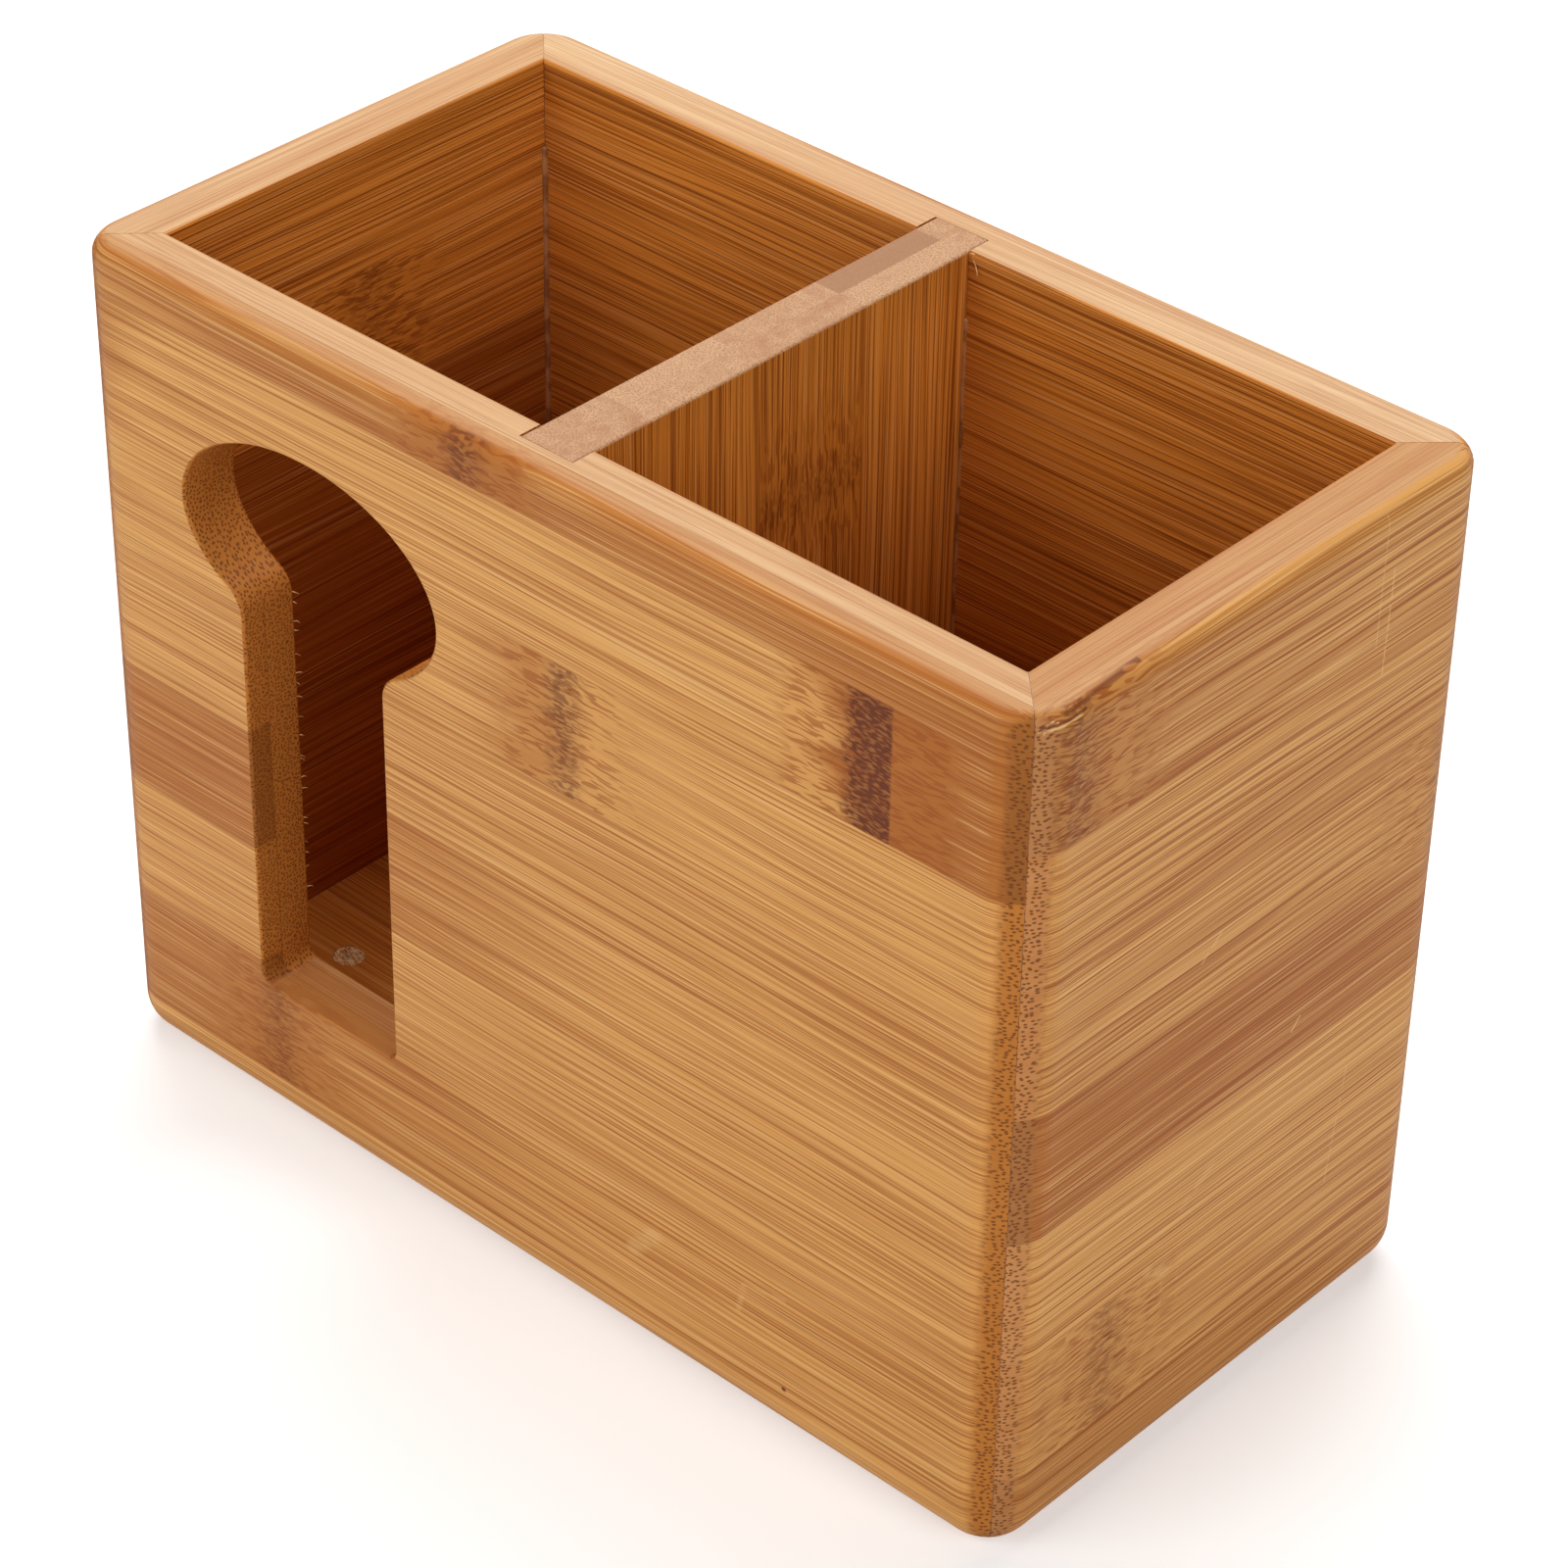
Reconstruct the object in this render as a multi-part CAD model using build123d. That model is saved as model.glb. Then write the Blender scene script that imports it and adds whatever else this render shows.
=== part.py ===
from build123d import *
import math
import os

# A glued bamboo cutlery organizer: four mitred walls round two compartments, a divider let
# into grooves in the long walls, and a floor set in above the bottom rim. The front wall has
# a keyhole cut-out that opens into the left compartment.
# Millimetres. X runs along the width, the front wall faces -Y and +Z is up. The origin lies
# under the middle of the organizer, on the surface that it stands on.

# Overall size
width = 200.0
depth = 106.0
height = 157.0

# Boards
wall_thickness = 11.0
divider_thickness = 11.0
floor_thickness = 11.0
floor_recess = 3.0

# Edges, as sanded on the glued-up box
corner_radius = 8.5
base_edge_radius = 7.5
rim_edge_radius = 3.0
eased_edge = 0.6

# Joinery
glue_line = 0.1
housing_depth = 4.7
housing_slack = 0.1

# Keyhole in the front wall, an oval head on a straight stem
keyhole_rim_margin = 20.2
keyhole_sill_height = 28.0
keyhole_head_width = 57.4
keyhole_head_height = 35.6
keyhole_stem_width = 32.0
keyhole_neck_radius = 5.0
keyhole_foot_radius = 2.5

# Round plugs in the floor, one near each corner
plug_diameter = 5.6
plug_slack = 0.05
plug_from_end_wall = 17.2
plug_from_long_wall = 16.0

# Places that follow from the sizes
inner_width = width - 2 * wall_thickness
inner_depth = depth - 2 * wall_thickness
floor_top = floor_recess + floor_thickness
compartment_width = (inner_width - divider_thickness) / 2
keyhole_x = -(divider_thickness + compartment_width) / 2
keyhole_head_z = height - keyhole_rim_margin - keyhole_head_height / 2
plug_x = inner_width / 2 - plug_from_end_wall
plug_y = inner_depth / 2 - plug_from_long_wall

# Cutters run this far past the faces that they cut
cutter_overrun = 1.0

STANDING = (Align.CENTER, Align.CENTER, Align.MIN)


def sanded_ring():
    """The four walls as one ring, with the edges that sanding leaves on the glued-up box."""
    block = Box(width, depth, height, align=STANDING)
    block = fillet(block.edges().filter_by(Axis.Z), corner_radius)
    base = block.faces().sort_by(Axis.Z)[0]
    block = fillet(base.outer_wire().edges(), base_edge_radius)
    rim = block.faces().sort_by(Axis.Z)[-1]
    block = fillet(rim.outer_wire().edges(), rim_edge_radius)
    ring = block - Box(inner_width, inner_depth, height, align=STANDING)
    rim = ring.faces().sort_by(Axis.Z)[-1]
    return fillet(rim.inner_wires()[0].edges(), eased_edge)


def mitred_share(length, distance, turn):
    """The part of the ring that one wall of this outer length fills, between its two mitres.

    The outer face lies at this distance from the middle, and turn brings it from the front
    to its own side. Each mitre keeps back by half of the glue line.
    """
    keep_back = glue_line / math.sqrt(2)
    outer = length / 2 - keep_back + cutter_overrun
    inner = length / 2 - keep_back - wall_thickness - cutter_overrun
    plan = Polygon(
        (-outer, -cutter_overrun),
        (outer, -cutter_overrun),
        (inner, wall_thickness + cutter_overrun),
        (-inner, wall_thickness + cutter_overrun),
        align=None,
    )
    prism = extrude(Pos(0, -distance, 0) * plan, amount=height)
    return Rot(0, 0, turn) * prism


def housing_grooves():
    """The pair of grooves in the long walls that the divider drops into from above."""
    groove_width = divider_thickness + 2 * housing_slack
    groove_reach = inner_depth + 2 * (housing_depth + housing_slack)
    groove_height = height - floor_top + cutter_overrun
    return Pos(0, 0, floor_top) * Box(groove_width, groove_reach, groove_height, align=STANDING)


def keyhole_outline():
    """The keyhole as it is seen from the front: the head, the stem, and the rounded corners."""
    stem_height = keyhole_head_z - keyhole_sill_height
    head = Pos(keyhole_x, keyhole_head_z) * Ellipse(keyhole_head_width / 2, keyhole_head_height / 2)
    stem = Pos(keyhole_x, keyhole_sill_height) * Rectangle(
        keyhole_stem_width, stem_height, align=(Align.CENTER, Align.MIN)
    )
    outline = head + stem
    edge = keyhole_stem_width / 2
    corners = [v for v in outline.vertices() if abs(abs(v.X - keyhole_x) - edge) < 0.01]
    corners.sort(key=lambda v: v.Y)
    foot_places = [(v.X, v.Y) for v in corners[:2]]
    outline = fillet(corners[2:], keyhole_neck_radius)
    foot = [v for v in outline.vertices() if any(math.dist((v.X, v.Y), p) < 0.01 for p in foot_places)]
    return fillet(foot, keyhole_foot_radius)


def keyhole_cutter():
    """The keyhole's outline pushed through the front wall."""
    outline = Plane.XZ.offset(inner_depth / 2 - cutter_overrun) * keyhole_outline()
    return extrude(outline, amount=wall_thickness + 2 * cutter_overrun)


def eased_keyhole(panel):
    """The front wall with the keyhole's two edges rubbed down, outside and inside."""
    for side in (0, -1):
        faces = [f for f in panel.faces().filter_by(Axis.Y) if f.inner_wires()]
        face = sorted(faces, key=lambda f: f.center().Y)[side]
        panel = fillet(face.inner_wires()[0].edges(), eased_edge)
    return panel


def divider():
    """The middle board, with upright grain, standing on the floor with its top at the rim."""
    board = Pos(0, 0, floor_top) * Box(
        divider_thickness, inner_depth + 2 * housing_depth, height - floor_top, align=STANDING
    )
    top = board.faces().sort_by(Axis.Z)[-1]
    return fillet(top.edges().filter_by(Axis.Y), eased_edge)


def plug_places():
    """The middle of each floor plug, level with the floor board's underside."""
    return [Pos(x, y, floor_recess) for x in (-plug_x, plug_x) for y in (-plug_y, plug_y)]


def floor_panel():
    """The floor board, set between the walls with room for glue, and drilled for its plugs."""
    board = Pos(0, 0, floor_recess) * Box(
        inner_width - 2 * glue_line, inner_depth - 2 * glue_line, floor_thickness, align=STANDING
    )
    for place in plug_places():
        hole = Cylinder(plug_diameter / 2 + plug_slack, floor_thickness, align=STANDING)
        board -= place * hole
    return board


def floor_plugs():
    """The plugs, each filling its hole from the underside to the floor's top face."""
    plug = Cylinder(plug_diameter / 2, floor_thickness, align=STANDING)
    return Compound(children=[place * plug for place in plug_places()])


ring = sanded_ring()
grooves = housing_grooves()

front_panel = ring & mitred_share(width, depth / 2, 0)
front_panel = eased_keyhole(front_panel - keyhole_cutter()) - grooves
back_panel = (ring & mitred_share(width, depth / 2, 180)) - grooves
left_end_panel = ring & mitred_share(depth, width / 2, -90)
right_end_panel = ring & mitred_share(depth, width / 2, 90)

parts = {
    "front_panel": front_panel,
    "back_panel": back_panel,
    "left_end_panel": left_end_panel,
    "right_end_panel": right_end_panel,
    "divider": divider(),
    "floor_panel": floor_panel(),
    "floor_plugs": floor_plugs(),
}

os.makedirs("parts", exist_ok=True)
for name, shape in parts.items():
    shape.label = name
    export_step(shape, os.path.join("parts", name + ".step"))
    size = shape.bounding_box().size
    print(f"{name:16s} {size.X:7.1f} {size.Y:7.1f} {size.Z:7.1f}  solids {len(shape.solids())}")
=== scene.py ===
"""Looks of the bamboo cutlery organizer: boards, glue, floor plugs, torn fibres and the stage."""

import math
import random
from collections import namedtuple

import bmesh
import bpy
from mathutils import Euler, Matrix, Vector


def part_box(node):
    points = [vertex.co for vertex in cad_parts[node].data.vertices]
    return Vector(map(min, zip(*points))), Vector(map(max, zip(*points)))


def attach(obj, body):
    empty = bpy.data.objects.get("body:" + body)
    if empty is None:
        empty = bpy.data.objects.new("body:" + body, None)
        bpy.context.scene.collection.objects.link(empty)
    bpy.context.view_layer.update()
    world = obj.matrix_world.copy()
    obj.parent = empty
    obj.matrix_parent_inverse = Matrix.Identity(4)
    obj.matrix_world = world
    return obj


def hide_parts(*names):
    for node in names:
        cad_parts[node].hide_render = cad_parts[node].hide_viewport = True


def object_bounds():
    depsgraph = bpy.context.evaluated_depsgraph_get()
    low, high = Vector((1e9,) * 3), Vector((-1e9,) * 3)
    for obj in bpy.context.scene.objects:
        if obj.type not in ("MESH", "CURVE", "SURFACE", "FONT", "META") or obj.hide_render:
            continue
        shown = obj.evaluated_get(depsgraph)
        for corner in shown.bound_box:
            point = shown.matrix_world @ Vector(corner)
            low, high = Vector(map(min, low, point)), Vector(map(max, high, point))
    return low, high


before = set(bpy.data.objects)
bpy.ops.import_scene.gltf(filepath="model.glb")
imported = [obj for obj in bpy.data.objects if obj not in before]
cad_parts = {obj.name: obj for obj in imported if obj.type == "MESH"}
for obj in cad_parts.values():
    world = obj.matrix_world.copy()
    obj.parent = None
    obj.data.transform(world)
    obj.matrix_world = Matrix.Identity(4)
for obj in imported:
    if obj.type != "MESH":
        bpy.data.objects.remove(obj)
cad_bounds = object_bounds()

bl_info = {
    "name": "Bamboo Cutlery Organizer",
    "version": (1, 0, 0),
    "blender": (4, 5, 0),
    "location": "View3D > Sidebar > Organizer",
    "description": "Dresses a two-compartment bamboo cutlery organizer and sets its stage",
    "category": "Object",
}

BODY = "root"

# The whole organizer's corners, and the pieces that others line up with, in metres
LOW, HIGH = (Vector(corner) for corner in cad_bounds)
FLOOR_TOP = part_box("floor_panel")[1].z
DIVIDER_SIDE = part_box("divider")[1].x
PLUGS_LOW, PLUGS_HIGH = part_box("floor_plugs")
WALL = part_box("front_panel")[1].y - LOW.y
INNER_X = HIGH.x - WALL
INNER_Y = HIGH.y - WALL
RIM = HIGH.z
MM = 0.001


def srgb(red, green, blue):
    """A colour given as 0 to 255 display values, as the linear values that shaders use."""
    linear = []
    for value in (red, green, blue):
        share = value / 255
        linear.append(share / 12.92 if share <= 0.04045 else ((share + 0.055) / 1.055) ** 2.4)
    return tuple(linear)


# A board's own coordinates run along the grain on X, in from its outer face on Y and across its
# strips on Z. turn and shift bring the organizer's coordinates to them, and grain and across are the
# organizer's directions of X and Z. Strips are numbered up from first_seam, and strip is their height.
# lines is how strong the fibre lines are, and rim how pale the sanded edges of its two layers are; the
# back board's pale rim is partly the wood's own colour and partly painted highlight of the overhead light.
Board = namedtuple(
    "Board", "node turn shift grain across first_seam strip seed lines rim joints stains scuffs",
    defaults=(1.0, (0.0, 0.45), (), (), ()))
# Joints and stains lie in the outer layer of strips, or inside, in the layer next to a compartment
# A culm joint is a speckled mark across one strip, sharp where it ends at a line
CulmJoint = namedtuple("CulmJoint", "strip along reach strength inside sharp", defaults=(False, 0.0))
# Each of these darkens its strips from where it is clear to where it is full, or lightens them below
# nought. Most are the wood's own stained patches; the ones inside at the foot of the back and left walls
# are painted shade of the compartments.
Stain = namedtuple("Stain", "strip clear full depth inside strips", defaults=(False, 1))
# A scuff is a pale scratch or smudge on the outer face, from start to end, or a dark crack or pit
Scuff = namedtuple("Scuff", "start end width strength dark", defaults=(False,))

WALL_BOARDS = (
    Board(
        "front_panel", turn=(0, 0, 0), shift=(0, HIGH.y, 0), grain=(1, 0, 0), across=(0, 0, 1),
        first_seam=0.0089, strip=0.02335, seed=1.0,
        joints=(
            CulmJoint(5, 0.0700, 0.0050, 1.8, sharp=1.0),
            CulmJoint(4, 0.0090, 0.0045, 0.70),
            CulmJoint(6, -0.0115, 0.0050, 0.8),
            CulmJoint(0, -0.0600, 0.0055, 0.5),
        ),
        stains=(
            Stain(6, -0.140, -0.040, 0.72),
            Stain(5, 0.056, 0.068, 0.85),
            Stain(5, -0.082, -0.100, 0.60),
            Stain(4, -0.020, 0.002, 0.45),
            Stain(4, 0.004, 0.016, -0.45),
            Stain(2, 0.030, -0.060, 0.75),
            Stain(0, 0.030, -0.070, 0.65),
        ),
        scuffs=(
            Scuff((0.0235, 0.0205), (0.0285, 0.0262), 0.0022, 0.30),
            Scuff((0.0465, 0.0215), (0.0475, 0.0265), 0.0009, 0.25),
            Scuff((0.0475, 0.0270), (0.0560, 0.0290), 0.0008, 0.20),
            Scuff((0.0563, 0.0107), (0.0565, 0.0107), 0.0006, 1.00, True),
        ),
    ),
    Board(
        "back_panel", turn=(0, 0, math.pi), shift=(0, HIGH.y, 0), grain=(1, 0, 0), across=(0, 0, 1),
        # The back rim's paleness is partly painted highlight of the overhead light.
        first_seam=0.0160, strip=0.02335, seed=2.0, rim=(1.0, 0.75),
        joints=(
            CulmJoint(3, 0.0420, 0.0055, 0.8),
            CulmJoint(5, -0.0550, 0.0055, 0.6),
            CulmJoint(0, 0.0050, 0.0060, 0.7),
        ),
        stains=(
            Stain(2, 0.030, -0.070, 0.60),
            Stain(4, -0.010, 0.090, 0.50),
            # Painted shade: the inner face's four lowest strips, up to about 86 mm, darker along the whole
            # length of the wall.
            Stain(-1, -0.300, -0.200, 0.60, True, strips=4),
        ),
    ),
    Board(
        "left_end_panel", turn=(0, 0, math.pi / 2), shift=(0, HIGH.x, 0), grain=(0, 1, 0),
        across=(0, 0, 1), first_seam=0.0159, strip=0.0236, seed=3.0, rim=(0.6, 0.45),
        joints=(
            CulmJoint(4, 0.0000, 0.0055, 0.45, True),
            CulmJoint(1, 0.0250, 0.0055, 0.7),
        ),
        stains=(
            Stain(3, -0.090, -0.020, 0.60, True),
            # Painted shade: the inner face's four lowest strips, up to about 87 mm, darker along the whole
            # length of the wall.
            Stain(-1, -0.300, -0.200, 0.70, True, strips=4),
            Stain(5, 0.090, 0.010, 0.30),
            Stain(1, 0.010, -0.060, 0.50),
        ),
    ),
    Board(
        "right_end_panel", turn=(0, 0, -math.pi / 2), shift=(0, HIGH.x, 0), grain=(0, 1, 0),
        across=(0, 0, 1), first_seam=0.0159, strip=0.0236, seed=4.0, lines=1.25, rim=(0.05, 0.0),
        joints=(
            CulmJoint(5, -0.0440, 0.0065, 0.60),
            CulmJoint(3, 0.0500, 0.0070, 0.30),
            CulmJoint(0, -0.0280, 0.0060, 0.40),
        ),
        stains=(
            Stain(5, 0.070, -0.030, 0.45),
            Stain(2, 0.090, 0.010, 0.60),
            Stain(-1, 0.110, 0.010, 0.40),
        ),
        scuffs=(
            Scuff((0.0285, 0.1270), (0.0292, 0.1470), 0.00022, 0.55),
            Scuff((0.0262, 0.1330), (0.0266, 0.1560), 0.00018, 0.40),
            Scuff((-0.0110, 0.0948), (-0.0066, 0.0984), 0.00030, 0.45),
            Scuff((0.0139, 0.0680), (0.0157, 0.0700), 0.00035, 0.50),
            Scuff((-0.0110, 0.0478), (-0.0040, 0.0522), 0.0012, 0.20),
            Scuff((-0.0190, 0.0400), (-0.0140, 0.0366), 0.0014, 0.25),
            Scuff((0.0270, 0.0300), (0.0300, 0.0520), 0.00020, 0.40),
            Scuff((-0.0480, 0.1562), (-0.0290, 0.1568), 0.00040, 0.75, True),
            Scuff((-0.0500, 0.1553), (-0.0420, 0.1557), 0.00030, 0.80, True),
            Scuff((-0.0500, 0.1548), (-0.0430, 0.1553), 0.00030, 0.80),
        ),
    ),
)
DIVIDER_BOARD = Board(
    "divider", turn=(math.pi / 2, 0, math.pi / 2), shift=(0, DIVIDER_SIDE, 0), grain=(0, 0, 1),
    across=(0, 1, 0), first_seam=-0.0061, strip=0.0238, seed=5.0,
    joints=(CulmJoint(0, 0.1290, 0.0050, 0.40, True),),
    stains=(Stain(1, 0.000, 0.150, 1.60),),
)
FLOOR_BOARD = Board(
    "floor_panel", turn=(math.pi / 2, 0, 0), shift=(0, FLOOR_TOP, 0), grain=(1, 0, 0),
    across=(0, 1, 0), first_seam=-0.0150, strip=0.0235, seed=6.0,
    joints=(CulmJoint(1, 0.0350, 0.0055, 0.6),),
    stains=(Stain(-1, -0.090, 0.000, 0.50),),
)


class Wiring:
    """Adds nodes to one shader tree and wires them, so that a formula reads from the inside out."""

    def __init__(self, tree):
        self.tree = tree

    def node(self, kind, **settings):
        node = self.tree.nodes.new("ShaderNode" + kind)
        for name, value in settings.items():
            setattr(node, name, value)
        return node

    def put(self, socket, value):
        """Wires an output into this input, or sets it to a plain value."""
        if isinstance(value, bpy.types.NodeSocket):
            self.tree.links.new(value, socket)
        elif value is not None:
            socket.default_value = value

    def math(self, operation, *values, clamp=False):
        node = self.node("Math", operation=operation, use_clamp=clamp)
        for socket, value in zip(node.inputs, values):
            self.put(socket, value)
        return node.outputs[0]

    def product(self, *values):
        """All of these values multiplied together."""
        total = values[0]
        for value in values[1:]:
            total = self.math("MULTIPLY", total, value)
        return total

    def sum(self, *values, clamp=False):
        """All of these values added together; clamp holds the last sum between 0 and 1."""
        total = values[0]
        for value in values[1:-1]:
            total = self.math("ADD", total, value)
        return self.math("ADD", total, values[-1], clamp=clamp)

    def sway(self, value, reach):
        """A value that varies about one half, as a swing of this reach about nought."""
        return self.math("MULTIPLY", self.math("SUBTRACT", value, 0.5), reach)

    def vector(self, operation, *values):
        node = self.node("VectorMath", operation=operation)
        for socket, value in zip(node.inputs, values):
            self.put(socket, value)
        return node.outputs["Value" if operation in {"DOT_PRODUCT", "LENGTH"} else "Vector"]

    def stretched(self, vector, along, aside):
        """A position scaled by one factor along X and another across it."""
        return self.vector("MULTIPLY", vector, (along, aside, aside))

    def split(self, vector):
        node = self.node("SeparateXYZ")
        self.put(node.inputs[0], vector)
        return node.outputs

    def join(self, x, y, z):
        node = self.node("CombineXYZ")
        for socket, value in zip(node.inputs, (x, y, z)):
            self.put(socket, value)
        return node.outputs[0]

    def span(self, value, start, end, low=0.0, high=1.0, smooth=True):
        """Takes a value from the range start to end to the range low to high, and holds it there."""
        node = self.node("MapRange", interpolation_type="SMOOTHSTEP" if smooth else "LINEAR")
        for name, given in zip(("Value", "From Min", "From Max", "To Min", "To Max"),
                               (value, start, end, low, high)):
            self.put(node.inputs[name], given)
        return node.outputs["Result"]

    def mix(self, share, first, second):
        """A blend of two colours, with this share of the second."""
        node = self.node("Mix", data_type="RGBA", clamp_factor=True)
        self.put(node.inputs["Factor"], share)
        for socket, colour in zip((s for s in node.inputs if s.type == "RGBA"), (first, second)):
            self.put(socket, colour)
        return next(s for s in node.outputs if s.type == "RGBA")

    def noise(self, vector, detail=1.0):
        node = self.node("TexNoise", noise_dimensions="3D")
        self.put(node.inputs["Vector"], vector)
        node.inputs["Scale"].default_value = 1.0
        node.inputs["Detail"].default_value = detail
        return node.outputs["Fac"]

    def spots(self, across, up):
        """Distance to the nearest of many points scattered over a plane, one to each unit square."""
        node = self.node("TexVoronoi", voronoi_dimensions="2D", feature="F1")
        self.put(node.inputs["Vector"], self.join(across, up, 0.0))
        node.inputs["Scale"].default_value = 1.0
        node.inputs["Randomness"].default_value = 0.8
        return node.outputs["Distance"]

    def group(self, tree, **values):
        """Places a node group; an underscore in a name stands for a blank in the socket's."""
        node = self.node("Group", node_tree=tree)
        for name, value in values.items():
            self.put(node.inputs[name.replace("_", " ")], value)
        return node.outputs


def new_group(name, inputs, outputs):
    """An empty shader node group, with the sockets' names listed by kind, and the wiring to fill it."""
    tree = bpy.data.node_groups.new(name, "ShaderNodeTree")
    for way, kinds in (("INPUT", inputs), ("OUTPUT", outputs)):
        for kind, labels in kinds.items():
            for label in labels.split(", "):
                tree.interface.new_socket(name=label, in_out=way, socket_type="NodeSocket" + kind)
    entry = tree.nodes.new("NodeGroupInput").outputs
    leave = tree.nodes.new("NodeGroupOutput").inputs
    return tree, Wiring(tree), entry, leave


def seam_window(w, across, low, high, soften=0.0003):
    """One between two seams of a board and nothing outside them."""
    above = w.span(across, w.math("SUBTRACT", low, soften), w.sum(low, soften))
    below = w.span(across, w.math("SUBTRACT", high, soften), w.sum(high, soften), 1.0, 0.0)
    return w.product(above, below)


def culm_joint_group():
    """The mark that a joint of the bamboo culm leaves on one strip: a band, and dashes around it."""
    tree, w, entry, leave = new_group(
        "Culm Joint", {"Vector": "Board Position", "Float": "Along, Low, High, Reach, Strength, Sharp"},
        {"Float": "Band, Halo"})
    x, _, z = w.split(entry["Board Position"])
    strip = seam_window(w, z, entry["Low"], entry["High"])
    ragged = w.noise(w.stretched(entry["Board Position"], 90.0, 700.0))
    ahead = w.math("SUBTRACT", x, entry["Along"])
    torn = w.sum(ahead, w.sway(ragged, 0.006))
    reach = entry["Reach"]
    rise = w.span(torn, w.product(reach, -1.3), w.product(reach, -0.1))
    sharp = entry["Sharp"]
    behind = w.span(sharp, 0.0, 1.0, torn, ahead, smooth=False)
    hold = w.product(reach, w.span(sharp, 0.0, 1.0, 0.10, 0.75, smooth=False))
    clear = w.product(reach, w.span(sharp, 0.0, 1.0, 1.30, 0.90, smooth=False))
    drop = w.span(behind, hold, clear, 1.0, 0.0)
    halo = w.span(w.math("ABSOLUTE", torn), w.product(reach, 4.2), w.product(reach, 0.8))
    scale = w.product(strip, entry["Strength"])
    w.put(leave["Band"], w.product(rise, drop, scale))
    w.put(leave["Halo"], w.math("MULTIPLY", w.product(halo, 1.7), scale, clamp=True))
    return tree


def stained_and_shaded_strip_group():
    """A strip that is browner, or lighter, towards one end."""
    tree, w, entry, leave = new_group(
        "Stained Strip", {"Vector": "Board Position", "Float": "Low, High, Clear, Full, Depth"},
        {"Float": "Stain"})
    x, _, z = w.split(entry["Board Position"])
    strip = seam_window(w, z, entry["Low"], entry["High"])
    cloud = w.noise(w.stretched(entry["Board Position"], 30.0, 160.0))
    share = w.span(w.sum(x, w.sway(cloud, 0.035)), entry["Clear"], entry["Full"])
    w.put(leave["Stain"], w.product(share, strip, entry["Depth"]))
    return tree


def scuff_group():
    """A broken line or smudge on a board's outer face, between two places."""
    tree, w, entry, leave = new_group(
        "Scuff", {"Vector": "Board Position, Start, End", "Float": "Width, Strength"},
        {"Float": "Mask"})
    x, y, z = w.split(entry["Board Position"])
    away = w.vector("SUBTRACT", w.join(x, 0.0, z), entry["Start"])
    run = w.vector("SUBTRACT", entry["End"], entry["Start"])
    length = w.vector("DOT_PRODUCT", run, run)
    share = w.math("DIVIDE", w.vector("DOT_PRODUCT", away, run), length, clamp=True)
    nearest = w.vector("MULTIPLY", run, w.join(share, share, share))
    distance = w.vector("LENGTH", w.vector("SUBTRACT", away, nearest))
    line = w.span(distance, entry["Width"], w.product(entry["Width"], 0.2))
    broken = w.span(w.noise(w.stretched(entry["Board Position"], 260.0, 900.0)), 0.34, 0.50)
    outside = w.math("LESS_THAN", y, 2.5 * MM)
    w.put(leave["Mask"], w.product(line, broken, outside, entry["Strength"]))
    return tree


# A board at each place: its depth and height, its layer and strip, and the fibres that pass there
Grain = namedtuple("Grain", "y z layer chance seam own fibre haze chopped coarse long_lines lines glue")


def strip_layout(w, entry, y, z):
    """The layer that a place is in, the chance values of its strip, and how near a seam it is."""
    layer = w.math("GREATER_THAN", y, entry["Glue Plane"])
    step = w.math("DIVIDE", w.math("SUBTRACT", z, entry["First Seam"]), entry["Strip Height"])
    chance = w.node("TexWhiteNoise", noise_dimensions="1D")
    w.put(chance.inputs["W"], w.sum(w.math("FLOOR", step), w.product(layer, 19.0),
                                    w.product(entry["Seed"], 47.0)))
    within = w.math("FRACT", step)
    nearest = w.math("MINIMUM", within, w.math("SUBTRACT", 1.0, within))
    seam = w.span(w.product(nearest, entry["Strip Height"]), 0.25 * MM, 0.05 * MM)
    return layer, chance.outputs, seam


def fibre_lines(w, fibre, halo):
    """The finest lines, all the long dark lines, and the lines as dashes where they pass a joint."""
    bold = w.noise(w.stretched(fibre, 11.0, 1900.0), 0.0)
    coarse = w.noise(w.stretched(fibre, 18.0, 4200.0))
    thin = w.noise(w.stretched(fibre, 22.0, 3900.0), 0.0)
    crowd = w.span(w.noise(w.stretched(fibre, 6.0, 130.0)), 0.36, 0.62)
    broken = w.noise(w.stretched(fibre, 260.0, 2300.0), 0.0)
    long_lines = w.sum(
        w.product(w.span(coarse, 0.51, 0.62), w.span(crowd, 0.0, 1.0, 0.70, 1.0, smooth=False), 0.75),
        w.product(w.span(thin, 0.54, 0.66), 0.40),
        w.product(w.span(bold, 0.62, 0.70), 0.55), clamp=True)
    near_joint = w.math("MULTIPLY", halo, 0.85, clamp=True)
    lines = w.span(near_joint, 0.0, 1.0, long_lines, w.span(broken, 0.52, 0.60), smooth=False)
    return coarse, long_lines, lines


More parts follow.
